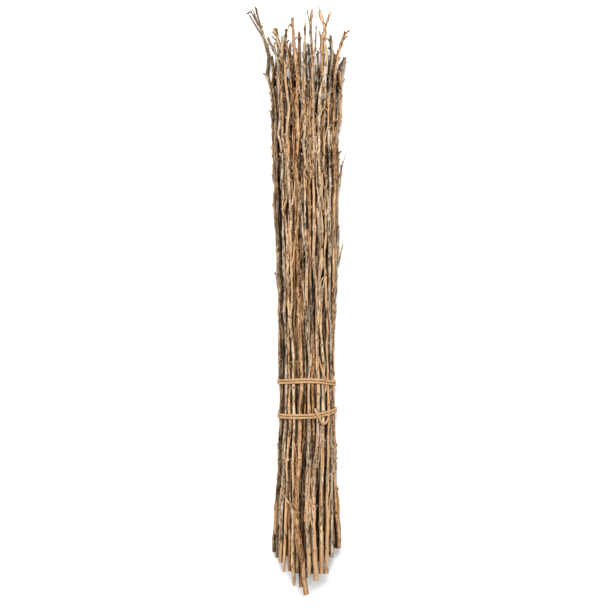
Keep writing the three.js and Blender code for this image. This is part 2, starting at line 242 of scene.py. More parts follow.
def makeTwine(name):
    graph = Graph(name)
    grain = graph.attribute("grain")
    tone, gap, _ = graph.parts(graph.attribute("look"))
    fibres = graph.noise(grain, (2600, 2600, 180), detail=4.0, roughness=0.7)
    patches = graph.noise(grain, (120, 120, 60), detail=2.0)
    stops = [(0.3, linear(112, 80, 52)), (0.5, linear(184, 146, 105)), (0.7, linear(215, 181, 141))]
    colour = graph.ramp(fibres * 0.7 + patches * 0.4 - 0.05, stops)
    # painted shade: darker between the plies
    colour = graph.dim(colour, (tone * 0.5 + 0.75) * (1 - gap * 0.45))
    return graph.finish(colour, fibres * 0.1 + 0.82, fibres, 0.0005, {"Specular IOR Level": 0.2})


barkMaterials = {slot: makeBark(slot, finish) for slot, finish in barkFinishes.items()}
cutWood = makeCutWood("cut_wood")
twine = makeTwine("twine")
print("finishes made,", len(barkMaterials) + 2)


# gathering tubes and caps into one mesh

class Shape:
    # a piece as grids of points. Each grid is a tube or a cap, closed round, with rings as its rows

    def __init__(self):
        self.points = {"place": [], "grain": [], "look": [], "deep": []}
        self.quads = []
        self.fans = []
        self.patches = []
        self.count = 0

    def add(self, place, grain, look, deep, material, fan=False):
        # fan closes the last ring onto one middle point
        rows, sides = place.shape[:2]
        first = self.count
        place = np.concatenate([place[..., :2], np.maximum(place[..., 2:], 0.0)], -1)  # nothing under the floor
        added = {"place": place.reshape(-1, 3), "grain": grain.reshape(-1, 3), "look": look.reshape(-1, 3),
                 "deep": deep.reshape(-1)}
        for key, values in added.items():
            self.points[key].append(values)
        row, side = np.meshgrid(np.arange(rows - 1), np.arange(sides), indexing="ij")
        after = (side + 1) % sides
        corners = [row * sides + side, row * sides + after, (row + 1) * sides + after, (row + 1) * sides + side]
        self.quads.append(np.stack(corners, -1).reshape(-1, 4) + first)
        self.count += rows * sides
        if fan:
            for key, values in added.items():
                self.points[key].append(values[-sides:].mean(0, keepdims=True))
            last = first + (rows - 1) * sides + np.arange(sides)
            middle = np.full(sides, self.count)
            self.fans.append(np.stack([last, np.roll(last, -1), middle], -1))
            self.count += 1
        girth = np.linalg.norm(place[:, 1] - place[:, 0], axis=-1).mean() * sides
        length = np.linalg.norm(np.diff(place[:, 0], axis=0), axis=-1).sum()
        self.patches.append({"rows": rows - 1, "sides": sides, "fan": fan, "material": material,
                             "girth": max(girth, 1e-4), "length": max(length, 1e-4)})

    def build(self, name, materials):
        mesh = bpy.data.meshes.new(name)
        points = {key: np.concatenate(values) for key, values in self.points.items()}
        quads = np.concatenate(self.quads)
        fans = np.concatenate(self.fans) if self.fans else np.zeros((0, 3), int)
        corners = np.concatenate([quads.ravel(), fans.ravel()])
        sizes = np.concatenate([np.full(len(quads), 4), np.full(len(fans), 3)])
        mesh.vertices.add(self.count)
        mesh.vertices.foreach_set("co", points["place"].astype(np.float32).ravel())
        mesh.loops.add(len(corners))
        mesh.loops.foreach_set("vertex_index", corners.astype(np.int32))
        mesh.polygons.add(len(sizes))
        mesh.polygons.foreach_set("loop_start", (np.cumsum(sizes) - sizes).astype(np.int32))
        quadSlots = [np.full(p["rows"] * p["sides"], p["material"]) for p in self.patches]
        fanSlots = [np.full(p["sides"], p["material"]) for p in self.patches if p["fan"]]
        slots = np.concatenate(quadSlots + fanSlots)
        mesh.polygons.foreach_set("material_index", slots.astype(np.int32))
        mesh.polygons.foreach_set("use_smooth", np.ones(len(sizes), bool))
        mesh.uv_layers.new(name="OFBake").data.foreach_set("uv", layStrips(self.patches).ravel())
        # one of these values is the painted shade between the twigs, which the bark darkens its colour by
        for key, kind in (("grain", "FLOAT_VECTOR"), ("look", "FLOAT_VECTOR"), ("deep", "FLOAT")):
            field = "value" if kind == "FLOAT" else "vector"
            stored = mesh.attributes.new(key, kind, "POINT")
            stored.data.foreach_set(field, points[key].astype(np.float32).ravel())
        mesh.update(calc_edges=True)
        mesh.validate()
        for material in materials:
            mesh.materials.append(material)
        piece = bpy.data.objects.new(name, mesh)
        bpy.context.scene.collection.objects.link(piece)
        return piece


def stripsAt(patches, scale):
    # long tubes are cut across into strips, and the strips stand side by side on shelves
    tallest = 0.32
    margin = 0.002
    strips = []
    for index, patch in enumerate(patches):
        rows = patch["rows"] + patch["fan"]
        parts = max(1, math.ceil(patch["length"] * scale / tallest))
        perStrip = math.ceil(rows / parts)
        for start in range(0, rows, perStrip):
            share = min(perStrip, rows - start)
            height = patch["length"] * scale * share / rows + 2 * margin
            strips.append((height, patch["girth"] * scale + 2 * margin, index, start, share))
    strips.sort(key=lambda strip: -strip[0])
    placed = {}
    left, bottom, shelf = 0.0, 0.0, strips[0][0]
    for height, width, index, start, share in strips:
        if left + width > 1.0:
            left, bottom, shelf = 0.0, bottom + shelf, height
        placed[(index, start)] = (left + margin, bottom + margin, width - 2 * margin, height - 2 * margin, share)
        left += width
    return placed, bottom + shelf


def layStrips(patches):
    # a map with room of its own for every face, in the order of the faces
    scale = 1 / math.sqrt(sum(p["girth"] * p["length"] for p in patches))
    placed, top = stripsAt(patches, scale)
    while top > 1.0:
        scale *= 0.97
        placed, top = stripsAt(patches, scale)
    spans = {}  # the edges across a row of faces, and its lower and upper level
    for (index, start), (left, bottom, width, height, share) in placed.items():
        sides = patches[index]["sides"]
        u = left + width * np.arange(sides + 1) / sides
        for step in range(share):
            spans[(index, start + step)] = u, bottom + height * step / share, bottom + height * (step + 1) / share
    quads, fans = [], []
    for index, patch in enumerate(patches):
        for row in range(patch["rows"] + patch["fan"]):
            u, low, high = spans[(index, row)]
            low, high = np.full(patch["sides"], low), np.full(patch["sides"], high)
            if row < patch["rows"]:
                quads.append(np.stack([u[:-1], low, u[1:], low, u[1:], high, u[:-1], high], -1).reshape(-1, 2))
            else:
                fans.append(np.stack([u[:-1], low, u[1:], low, (u[:-1] + u[1:]) / 2, high], -1).reshape(-1, 2))
    return np.concatenate(quads + fans).astype(np.float32)


# lines through the twigs

def lineOf(name):
    # x, y, z and radius at each section of a twig's solid
    sameSection = 0.001
    mesh = frame["nodes"][name].data
    places = np.empty(len(mesh.vertices) * 3, np.float32)
    mesh.vertices.foreach_get("co", places)
    places = places.reshape(-1, 3).astype(float)
    heights = np.sort(places[:, 1])
    heights = heights[np.append(True, np.diff(heights) > sameSection)]
    line = []
    for height in heights:
        ring = places[np.abs(places[:, 1] - height) < sameSection]
        low, high = ring.min(0), ring.max(0)
        line.append([(low[0] + high[0]) / 2, height, (low[2] + high[2]) / 2, (high[2] - low[2]) / 2])
    return np.array(line)


def smoothThrough(knots, values, at):
    # a curve through the values that keeps an even slope at each knot
    slopes = np.gradient(values, knots)
    k = np.clip(np.searchsorted(knots, at) - 1, 0, len(knots) - 2)
    span = knots[k + 1] - knots[k]
    t = np.clip((at - knots[k]) / span, 0.0, 1.0)
    start = (1 + 2 * t) * (1 - t) ** 2 * values[k] + t * (1 - t) ** 2 * span * slopes[k]
    return start + t * t * (3 - 2 * t) * values[k + 1] + t * t * (t - 1) * span * slopes[k + 1]


def smoothNoise(rng, count, every, size):
    # random values, one for each of every points, joined by straight runs
    knots = np.arange(0, count + every, every)
    return np.interp(np.arange(count), knots, rng.normal(0, size, len(knots)))


def rising(values, start, span):
    # 0 at start and 1 a span further on, and level beyond. A span under zero runs downwards
    return np.clip((values - start) / span, 0, 1)


def unit(vectors):
    return vectors / np.linalg.norm(vectors, axis=-1, keepdims=True)


trunkLines = {name: lineOf(name) for name in trunkNames}
branchLines = {name: lineOf(name) for name in branchNames}

# where the twigs differ a little from their solids
longer = {"fan_tipped_twig": 0.005, "tall_forked_twig": -0.006, "thin_crossing_twig": -0.002}  # near the tips
hookShift = 0.006  # across and along, at the hooked twig's last point
fanBranches = {  # first and last point
    "fan_outer_branch": [(-0.0672, 0.4635), (-0.0855, 0.4930)],
    "fan_inner_branch": [(-0.0684, 0.4760), (-0.0790, 0.5015)],
}
thicker = {"fan_tipped_twig": 1.45, "hooked_tip_twig": 1.2, "thick_orange_twig": 1.2}  # in full from 0.2 m up
branchRadius = {"times": 1.1, "least": 0.0011, "upperShoot": 1.8}

for name, lift in longer.items():
    line = trunkLines[name]
    line[:, 1] += lift * rising(line[:, 1], 0.38, 0.1)
trunkLines["hooked_tip_twig"][-1, :2] += hookShift
for name, (start, end) in fanBranches.items():
    branchLines[name][:, :2] = np.linspace(start, end, len(branchLines[name]))
for name, times in thicker.items():
    line = trunkLines[name]
    line[:, 3] *= 1 + (times - 1) * rising(line[:, 1], -0.1, 0.3)
for line in branchLines.values():
    line[:, 3] = np.maximum(line[:, 3] * branchRadius["times"], branchRadius["least"])
branchLines["right_upper_shoot"][:, 3] *= branchRadius["upperShoot"]

innerLow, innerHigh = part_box(innerName)
axis = np.array([(innerLow.x + innerHigh.x) / 2, (innerLow.z + innerHigh.z) / 2])
tieHeights = [(low.y + high.y) / 2 for low, high in map(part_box, tieNames[:2])]
tieMiddle = sum(tieHeights) / 2


def bodySizeAt(heights):
    # half width and half height of the bundle, a little inside its outermost twigs
    sizes = []
    for height in heights:
        there = [line for line in trunkLines.values() if line[0, 1] < height < line[-1, 1]]
        x, z, radius = (np.array([np.interp(height, line[:, 1], line[:, c]) for line in there]) for c in (0, 2, 3))
        sizes.append((np.percentile(np.abs(x - axis[0]) + radius, 92),
                      np.percentile(np.abs(z - axis[1]) + radius, 92)))
    return np.array(sizes)


bodyHeights = np.linspace(-0.40, 0.40, 17)
bodySizes = bodySizeAt(bodyHeights)


def sizeAt(heights):
    return np.stack([np.interp(heights, bodyHeights, bodySizes[:, c]) for c in (0, 1)], -1)


# how the twigs lie: each is bent at its knots, then pushed clear of its neighbours

lie = {"spacing": 0.01, "rounds": 130, "gap": 0.00025, "bend": 0.0018, "slack": 0.0035, "nearby": 0.003, "push": 0.8,
       "outerGive": 0.25, "knotEvery": (0.018, 0.055), "slim": 0.88, "fuller": 0.14, "tip": 0.0024, "underTie": 0.0043}
innerTwigs = {"count": 104, "groups": 4, "butt": -0.468, "vee": 0.045, "tip": (0.06, 0.43), "turn": 0.5,
              "thick": (0.0019, 0.0033), "thin": (0.0014, 0.002), "rim": 0.9, "cutRim": 0.08, "uneven": 0.022,
              "mix": [0.24, 0.26, 0.1, 0.22, 0.08, 0.1]}  # mix: the share of each bark, in the finishes' order
levels = np.arange(-0.5, 0.5001, lie["spacing"])


def knotsBetween(low, high, rng):
    knots = low + np.cumsum(rng.uniform(*lie["knotEvery"], 60))
    return knots[knots < high - 0.01]


def nearCut(heights):
    # 1 at the cut ends, 0 from the lower tie upwards
    return rising(heights, -0.25, -0.12)


def bentLine(low, high, knots, rng):
    # sideways bends at the levels, hardly any where the ties hold the twigs or at their cut ends
    marks = np.concatenate([[low], knots, [high]])
    held = (1 - 0.75 * np.exp(-((levels - tieMiddle) / 0.06) ** 2)) * (1 - 0.75 * nearCut(levels))
    bends = [np.interp(levels, marks, rng.normal(0, lie["bend"], len(marks))) for _ in range(2)]
    return np.stack(bends, -1) * held[:, None]


def slimmed(radii):
    # the real twig is a little thinner than its solid, which has its knots in it
    slim = lie["slim"] + lie["fuller"] * nearCut(levels)
    return np.maximum(radii * slim, np.minimum(radii * 1.6, lie["tip"]))


def outerStarts(rng):
    starts = []
    for line in trunkLines.values():
        low, high = line[0, 1], line[-1, 1]
        there = np.clip(levels, low, high)
        middle = np.stack([smoothThrough(line[:, 1], line[:, c], there) for c in (0, 2)], -1)
        knots = knotsBetween(low, high, rng)
        radii = slimmed(np.interp(levels, line[:, 1], line[:, 3]))
        starts.append({"low": low, "high": high, "knots": knots, "radii": radii,
                       "rest": middle + bentLine(low, high, knots, rng)})
    return starts


def innerStarts(rng):
    starts = []
    sizes = sizeAt(levels)
    for _ in range(innerTwigs["count"]):
        angle, spread = rng.uniform(0, 2 * math.pi), math.sqrt(rng.uniform(0, 1)) * 0.92
        angles = angle + rng.normal(0, innerTwigs["turn"]) * levels
        low = innerTwigs["butt"] + innerTwigs["vee"] * abs(math.cos(angle) * spread) ** 1.4
        low += rng.uniform(0, innerTwigs["uneven"])
        high = rng.uniform(*innerTwigs["tip"])
        thick, thin = rng.uniform(*innerTwigs["thick"]), rng.uniform(*innerTwigs["thin"])
        knots = knotsBetween(low, high, rng)
        rest = axis + np.stack([np.cos(angles), np.sin(angles)], -1) * spread * sizes
        starts.append({"low": low, "high": high, "knots": knots,
                       "radii": np.interp(levels, [low, high], [thick, thin]),
                       "rest": rest + bentLine(low, high, knots, rng)})
    return starts


def nearPairs(at, radii):
    first, second = np.triu_indices(len(at), 1)
    apart = np.linalg.norm(at[first] - at[second], axis=-1) - radii[first] - radii[second]
    near = apart.min(1) < lie["nearby"]
    return first[near], second[near]


def settle(twigs, outerCount):
    rest = np.stack([twig["rest"] for twig in twigs])
    radii = np.stack([twig["radii"] for twig in twigs])
    ends = np.array([(twig["low"], twig["high"]) for twig in twigs])
    there = (levels > ends[:, :1] - lie["spacing"]) & (levels < ends[:, 1:] + lie["spacing"])
    radii = np.where(there, radii, -1.0)  # a twig takes no room past its ends
    give = np.where(np.arange(len(twigs)) < outerCount, lie["outerGive"], 1.0)
    room = sizeAt(levels) * (innerTwigs["rim"] + innerTwigs["cutRim"] * nearCut(levels)[:, None])
    room = room[None] - np.maximum(radii[outerCount:], 0)[..., None]
    # the ties pass between the lowest twigs and the floor
    floorRoom = sum(lie["underTie"] * np.exp(-((levels - height) / 0.03) ** 4) for height in tieHeights)
    at = rest.copy()
    for count in range(lie["rounds"]):
        if count % 10 == 0:
            first, second = nearPairs(at, radii)
            share = give[first] / (give[first] + give[second])
        offset = at - rest
        if count < lie["rounds"] * 0.8:
            offset[:, 1:-1] = offset[:, 1:-1] * 0.4 + (offset[:, :-2] + offset[:, 2:]) * 0.3
        far = np.linalg.norm(offset[:outerCount], axis=-1, keepdims=True)
        offset[:outerCount] *= np.minimum(1.0, lie["slack"] / np.maximum(far, 1e-9))
        at = rest + offset
        space = at[first] - at[second]
        distance = np.maximum(np.linalg.norm(space, axis=-1), 1e-6)
        lack = np.maximum(radii[first] + radii[second] + lie["gap"] - distance, 0.0) * lie["push"]
        move = space / distance[..., None] * lack[..., None]
        np.add.at(at, first, move * share[:, None, None])
        np.subtract.at(at, second, move * (1 - share)[:, None, None])
        inner = at[outerCount:] - axis
        out = np.hypot(inner[..., 0] / room[..., 0], inner[..., 1] / room[..., 1])
        at[outerCount:] = axis + inner / np.maximum(out, 1.0)[..., None]
        at[..., 1] = np.maximum(at[..., 1], np.maximum(radii, 0) + floorRoom)
    return at, radii


lieRandom = np.random.default_rng(23)
twigs = outerStarts(lieRandom) + innerStarts(lieRandom)
outerCount = len(trunkNames)
centresAt, radiiAt = settle(twigs, outerCount)
print("twigs settled,", len(twigs))


def circlesAt(height):
    # x, z and radius of every twig at this height
    k = int(np.clip((height - levels[0]) / lie["spacing"], 0, len(levels) - 2))
    t = (height - levels[k]) / lie["spacing"]
    found = [i for i, twig in enumerate(twigs) if twig["low"] < height < twig["high"]]
    middle = centresAt[found, k] * (1 - t) + centresAt[found, k + 1] * t
    return np.column_stack([middle, np.abs(radiiAt[found, k])]), np.array(found)


# looks past the other twigs from so many sides of each, at these angles. dark and open are shares of free sight
sight = {"sides": 12, "angles": (-55, -28, 0, 28, 55), "dark": 0.24, "open": 0.84}


def daylightOn():
    # the share of the sky that each side of each twig sees, at each level
    turn = 2 * math.pi * np.arange(sight["sides"]) / sight["sides"]
    rays = turn[:, None] + np.radians(sight["angles"])
    rays = np.stack([np.cos(rays), np.sin(rays)], -1).astype(np.float32)
    seen = np.ones((len(twigs), len(levels), sight["sides"]))
    for level in range(len(levels)):
        found = np.flatnonzero(radiiAt[:, level] > 0)
        if not len(found):
            continue
        middle, radius = centresAt[found, level].astype(np.float32), radiiAt[found, level].astype(np.float32)
        start = middle[:, None] + radius[:, None, None] * np.stack([np.cos(turn), np.sin(turn)], -1)
        space = (middle[None, None] - start[:, :, None]).astype(np.float32)
        along = np.einsum("ijkc,jrc->ijrk", space, rays)
        rayX, rayZ = rays[None, :, :, None, 0], rays[None, :, :, None, 1]
        aside = space[..., 0][:, :, None] * rayZ - space[..., 1][:, :, None] * rayX
        stopped = (along > 0) & (np.abs(aside) < radius)
        stopped[np.arange(len(found)), :, :, np.arange(len(found))] = False
        seen[found, level] = 1 - stopped.any(-1).mean(-1)
    return seen


daylight = daylightOn()
print("daylight found")


def shadeOf(index, place, out):
    # painted shade: 0 in the open and 1 in the shade between the twigs, for points on the side of a twig
    k = np.clip((place[..., 1] - levels[0]) / lie["spacing"], 0, len(levels) - 1.001)
    side = (np.arctan2(out[..., 2], out[..., 0]) / (2 * math.pi) % 1) * sight["sides"]
    k0, side0 = k.astype(int), side.astype(int)
    seen = 0
    for dk, ds in ((0, 0), (0, 1), (1, 0), (1, 1)):
        weight = np.abs(1 - dk - (k - k0)) * np.abs(1 - ds - (side - side0))
        seen = seen + weight * daylight[index, k0 + dk, (side0 + ds) % sight["sides"]]
    return 1 - rising(seen, sight["dark"], sight["open"] - sight["dark"])


# growing one twig

twigGrowth = {
    "ringStep": 0.0032, "sides": 12, "wander": 0.0003, "lump": 0.1, "ridge": 0.06, "knotSwell": 0.4,
    "oval": 0.06, "paleness": 0.12, "tipPaintedShade": 0.22, "cutPeel": 0.35, "tipTilt": 55,
    "knotLength": 0.0026, "cutTilt": 28, "crown": 0.2, "budEvery": 0.017, "budLength": (0.004, 0.01),
    "spurLength": (0.002, 0.0075), "spurShare": 0.6, "tipLength": (0.006, 0.013), "top": 0.4985,
}
innerGrowth = {**twigGrowth, "ringStep": 0.006, "sides": 8, "budEvery": 0.024, "spurShare": 0.25}


def ringsAlong(centres, radii, sides, hint):
    # rings of points round a line, their directions outwards, the line's own, their turns and the length so far
    along = unit(np.gradient(centres, axis=0))
    first = unit(hint - along * (along * hint).sum(-1)[:, None])
    second = np.cross(along, first)
    turn = 2 * math.pi * np.arange(sides) / sides
    out = np.cos(turn)[None, :, None] * first[:, None] + np.sin(turn)[None, :, None] * second[:, None]
    run = np.append(0, np.cumsum(np.linalg.norm(np.diff(centres, axis=0), axis=1)))
    return centres[:, None] + out * radii[..., None], out, along, turn, run


def tube(centres, radii, sides, seed, hint=(0.0, 0.0, 1.0)):
    # radii are for each ring, or for each point of each ring. grain runs across, across and along
    radii = np.broadcast_to(radii if radii.ndim == 2 else radii[:, None], (len(centres), sides))
    place, out, along, turn, run = ringsAlong(centres, radii, sides, np.array(hint))
    grain = [radii * np.cos(turn), radii * np.sin(turn), np.repeat(run[:, None] + seed, sides, 1)]
    return place, np.stack(grain, -1), out, along


def addEnd(shape, ring, grain, shade, direction, tone, rng, material, ragged):
    # closes a tube with a cut or broken face: rim, bevel, middle
    middle = ring.mean(0)
    rows, rowGrain = [ring], [grain]
    size = np.linalg.norm(ring - middle, axis=1).mean()
    for share, lift in ((0.93, 0.05), (0.5, 0.08)):
        rough = rng.normal(0, ragged, len(ring))[:, None]
        rows.append(middle + (ring - middle) * share + direction * size * (lift + rough))
        flat = grain.copy()
        flat[:, :2] *= share
        rowGrain.append(flat)
    place = np.stack(rows)
    ends = np.zeros_like(place)
    ends[..., 0] = tone
    ends[0, :, 2] = 0.5
    # the face takes a lighter share of its rim's painted shade
    shape.add(place, np.stack(rowGrain), ends, np.full(place.shape[:2], shade.mean() * 0.6), material, fan=True)


def tiltEnds(place, centres, girths, along, tilts, rng):
    # cuts are slanted a little, and broken tips more
    for end, most in zip((0, -1), tilts):
        slope = math.tan(math.radians(rng.uniform(0, most)))
        lean = unit(np.append(rng.normal(0, 1, 2), 0.0))[[0, 2, 1]]
        away = np.linalg.norm(centres - centres[end], axis=1)
        share = np.clip(1 - away / (5 * girths[end].mean()), 0, 1)[:, None]
        place += along[:, None] * ((place - centres[:, None]) @ lean * slope * share)[..., None]


# foot, taper and clubbed shape its radius, and share is that of its twig's radius
shootMake = {"ringStep": 0.0022, "sides": 6, "wander": 0.00015, "lump": 0.06, "foot": 0.7, "taper": 0.2,
             "clubbed": 0.35, "share": (0.5, 0.85), "radius": (0.001, 0.0017), "longShare": 0.12, "long": 1.8}


def growShoot(shape, base, along, outward, radius, thick, length, angle, rng, seed, look, shade, materials):
    # a short side shoot that starts inside its twig and leaves it at an angle
    steps = max(4, int((length + radius) / shootMake["ringStep"]))
    turn = math.radians(angle) * np.linspace(1.0, rng.uniform(0.6, 1.1), steps)
    sway = np.cross(along, outward) * rng.normal(0, 0.15)
    heading = unit(np.cos(turn)[:, None] * along + np.sin(turn)[:, None] * (outward + sway))
    stride = (length + radius / math.sin(math.radians(angle)) * 0.8) / steps
    centres = base + np.cumsum(heading * stride, axis=0) - heading[0] * stride
    centres += np.cumsum(rng.normal(0, shootMake["wander"], centres.shape), axis=0)
    run = np.linspace(0, 1, steps)
    radii = thick * (1 + shootMake["foot"] * np.exp(-run * 6) - shootMake["taper"] * run
                     + rng.uniform(0, shootMake["clubbed"]) * run ** 4)
    radii = radii * (1 + rng.normal(0, shootMake["lump"], steps))
    place, grain, _, heading = tube(centres, radii, shootMake["sides"], seed, hint=outward + 0.3 * along)
    looks = np.broadcast_to(look, place.shape).copy()
    looks[..., 2] = 0.5 * np.exp(-((run - 0.25) / 0.15) ** 2)[:, None]
    place[:, :, 2] = np.maximum(place[:, :, 2], 0.0)
    shades = np.broadcast_to(np.linspace(shade, shade * 0.4, steps)[:, None], place.shape[:2])
    shape.add(place, grain, looks, shades, materials[0])
    addEnd(shape, place[-1], grain[-1], shades[-1], heading[-1], rng.uniform(-0.5, 0.1), rng, materials[1], 0.2)


def growTwig(shape, line, knots, index, growth, rng, wood, foot=None, burls=()):
    # line: x, y, z and radius along it. wood: the materials of bark and cut, peel and tone
    # foot: the point inside its parent that a branch starts from
    # burls: height, half length, swelling, knot's darkness and bark's paleness of each special place
    materials, peel, tone = wood
    low, high = line[0, 1], line[-1, 1]
    heights = np.linspace(low, high, max(6, int((high - low) / growth["ringStep"])))
    centres = np.stack([smoothThrough(line[:, 1], line[:, 0], heights), heights,
                        smoothThrough(line[:, 1], line[:, 2], heights)], -1)
    radii = np.interp(heights, line[:, 1], line[:, 3])
    count, sides = len(heights), growth["sides"]
    for column in (0, 2):
        wave = sum(np.sin(heights / rng.uniform(0.004, 0.012) + rng.uniform(0, 6.3)) for _ in range(2)) / 2
        centres[:, column] += wave * growth["wander"]
    swell = np.zeros(count)
    for knot in knots:
        swell += rng.uniform(0.3, 1.0) * np.exp(-((heights - knot) / growth["knotLength"]) ** 2)
    lumps = 1 + smoothNoise(rng, count, 4, growth["lump"]) + growth["knotSwell"] * swell
    # random paleness along the twig, less painted shade towards the tips
    paleAndTipShade = smoothNoise(rng, count, 14, growth["paleness"]) - growth["tipPaintedShade"] * rising(heights, 0.36, 0.08)
    for height, half, swelling, dark, paler in burls:
        share = np.exp(-((heights - height) / half) ** 4)
        lumps += share * swelling
        swell += share * dark
        paleAndTipShade += share * paler
    ridges = np.stack([smoothNoise(rng, count, 7, growth["ridge"]) for _ in range(sides)], 1)
    turn = 2 * math.pi * np.arange(sides) / sides
    oval = growth["oval"] * np.cos(2 * turn[None] + 3 * np.sin(heights / 0.11 + rng.uniform(0, 6))[:, None])
    girths = radii[:, None] * (lumps[:, None] + ridges + oval)
    centres[:, 2] = np.maximum(centres[:, 2], girths.max(1))
    if foot is not None:
        lead = np.linspace(0, 1, 6)[:-1, None]
        centres = np.concatenate([foot + (centres[0] - foot) * lead ** 1.2, centres])
        girths = np.concatenate([girths[:1] * (1.4 - 0.4 * lead), girths])
        swell = np.concatenate([np.zeros(len(lead)), swell])
        paleAndTipShade = np.concatenate([np.full(len(lead), paleAndTipShade[0]), paleAndTipShade])
    seed = rng.uniform(0, 90)
    place, grain, out, along = tube(centres, girths, sides, seed)
    look = np.empty_like(place)
    look[..., 0] = tone + paleAndTipShade[:, None]
    look[..., 1] = np.clip(peel + growth["cutPeel"] * rising(centres[:, 1], -0.25, -0.2), 0, 1)[:, None]
    spot = np.clip(np.cos(turn[None] - smoothNoise(rng, len(centres), 12, 2.0)[:, None]), 0, 1)
    look[..., 2] = np.clip(swell, 0, 1)[:, None] * (0.3 + 0.7 * spot ** 3)
    place[:, :, 2] = np.maximum(place[:, :, 2], 0.0)
    tiltEnds(place, centres, girths, along, (growth["cutTilt"] if foot is None else 0, growth["tipTilt"]), rng)
    shade = shadeOf(index, place, out) if index is not None else np.zeros(place.shape[:2])
    shape.add(place, grain, look, shade, materials[0])
    addEnd(shape, place[-1], grain[-1], shade[-1], along[-1], 0.4, rng, materials[1], 0.22)
    addEnd(shape, place[0][::-1], grain[0][::-1], shade[0], -along[0], 0.55, rng, materials[1], 0.03)
    return centres, girths.mean(1), along, shade.mean(1), seed


def addShoots(shape, grown, knots, growth, rng, wood):
    # spurs at the knots, and buds and forked tips in the crown
    centres, girths, along, shade, seed = grown
    materials, peel, tone = wood
    low, high = centres[0, 1], centres[-1, 1]
    crown = np.arange(max(low + 0.01, growth["crown"]), high - 0.004, growth["budEvery"])
    crown = crown + rng.uniform(-0.006, 0.006, len(crown))
    spurs = [knot for knot in knots if -0.36 < knot < growth["crown"] and rng.random() < growth["spurShare"]]
    spots = [(spot, "spurLength", (20, 55)) for spot in spurs if abs(spot - tieMiddle) > 0.05]
    spots += [(spot, "budLength", (24, 46)) for spot in crown]
    spots += [(high - rng.uniform(0.004, 0.02), "tipLength", (14, 38)) for _ in range(rng.integers(0, 2))]
    around = rng.uniform(0, 6.3)
    for spot, kind, angles in spots:
        index = int(np.clip(np.searchsorted(centres[:, 1], spot), 1, len(centres) - 2))
        around += math.pi + rng.normal(0, 0.7)
        side = np.array([math.cos(around), 0.0, math.sin(around)])
        if kind == "spurLength":
            side = unit(side + unit(centres[index] - np.array([axis[0], centres[index, 1], axis[1]])) * 1.2)
        side = unit(side - along[index] * (side @ along[index]))
        length = rng.uniform(*growth[kind]) * (shootMake["long"] if rng.random() < shootMake["longShare"] else 1.0)
        length = min(length, growth["top"] - spot)
        thick = np.clip(girths[index] * rng.uniform(*shootMake["share"]), *shootMake["radius"])
        growShoot(shape, centres[index], along[index], side, girths[index], thick, length, rng.uniform(*angles),
                  rng, seed + spot + 3, np.array([tone, peel, 0.0]), shade[index], materials)


def lineFor(index):
    # a settled twig's line, from its cut end to its tip
    twig = twigs[index]
    inside = levels[(levels > twig["low"] + 0.004) & (levels < twig["high"] - 0.004)]
    heights = np.concatenate([[twig["low"]], inside, [twig["high"]]])
    x, z = (np.interp(heights, levels, centresAt[index, :, c]) for c in (0, 1))
    return np.column_stack([x, heights, z, np.interp(heights, levels, twig["radii"])])


burlsOf = {
    "fan_tipped_twig": [(0.494, 0.022, -0.3, 0, -0.35), (0.425, 0.045, 0.4, 0, -0.1)],
    "dark_centre_twig": [(-0.366, 0.009, 0.8, 0.5, 0.4)],
    "blunt_tipped_twig": [(-0.359, 0.008, 0.16, 0.7, 0), (0.478, 0.01, 0.3, 0, 0)],
    "thin_crossing_twig": [(-0.462, 0.009, 0.12, 0.75, 0)],
    "knotty_grey_twig": [(-0.064, 0.006, 0.4, 0.4, 0), (0.06, 0.005, 0.35, 0.3, 0)],
    "longest_twig": [(0.404, 0.014, 0.35, 0, 0.8)],
    "right_edge_twig": [(0.404, 0.016, 0.3, 0, 0.9)],
    "thick_orange_twig": [(0.45, 0.012, 0.15, 0, 0)],
    "short_tipped_twig": [(0.342, 0.005, 0.8, 0.9, 0)],
    "slender_left_twig": [(0.358, 0.004, 0.5, 0.8, 0)],
}
barkOrder = list(barkFinishes)
growRandom = np.random.default_rng(611)
midLevel, halfWidth = len(levels) // 2, bodySizes[len(bodySizes) // 2, 0]
shapes, woods = [], []
innerShapes = [Shape() for _ in range(innerTwigs["groups"])]
for index, twig in enumerate(twigs):
    outer = index < outerCount
    if outer:
        bark = barkOrder.index(slotOf[trunkNames[index]])
    else:
        bark = growRandom.choice(len(barkOrder), p=innerTwigs["mix"])
    shape = Shape() if outer else innerShapes[index % innerTwigs["groups"]]
    materials = (0, 1) if outer else (bark, len(barkOrder))
    growth = twigGrowth if outer else innerGrowth
    peel, tone = growRandom.uniform(*barkFinishes[barkOrder[bark]]["peel"]), growRandom.uniform(0.15, 0.85)
    # painted shade: twigs that lie towards the bundle's sides are darker
    tone -= 0.15 * min(1.0, abs(twig["rest"][midLevel, 0] - axis[0]) / halfWidth) ** 3  # darker at the edges
    wood = materials, peel, tone
    grown = growTwig(shape, lineFor(index), twig["knots"], index, growth, growRandom, wood,
                     burls=burlsOf.get(trunkNames[index], ()) if outer else ())
    addShoots(shape, grown, twig["knots"], growth, growRandom, wood)
    shapes.append(shape)
    woods.append(wood)
print("twigs grown")


# forks: thinner shoots that leave a twig and lie over its neighbours

forks = {"count": 150, "start": (-0.41, 0.33), "length": (0.025, 0.12), "lean": (0.001, 0.009),
         "thick": (0.0009, 0.0018), "clear": 0.012, "leastOut": 0.012, "jump": 0.0024, "paler": 0.1}
forkGrowth = {**twigGrowth, "sides": 8, "cutTilt": 0}


def outsideAt(height, angle, radius):
    # how far out a thin shoot lies in this direction, and the twig that it lies on
    circles, found = circlesAt(height)
    out = np.array([math.cos(angle), math.sin(angle)])
    space = circles[:, :2] - axis
    along, aside = space @ out, space[:, 0] * out[1] - space[:, 1] * out[0]
    room = (circles[:, 2] + radius) ** 2 - aside ** 2
    reach = np.where(room > 0, along + np.sqrt(np.maximum(room, 0)), 0.0)
    return reach.max(), found[np.argmax(reach)]


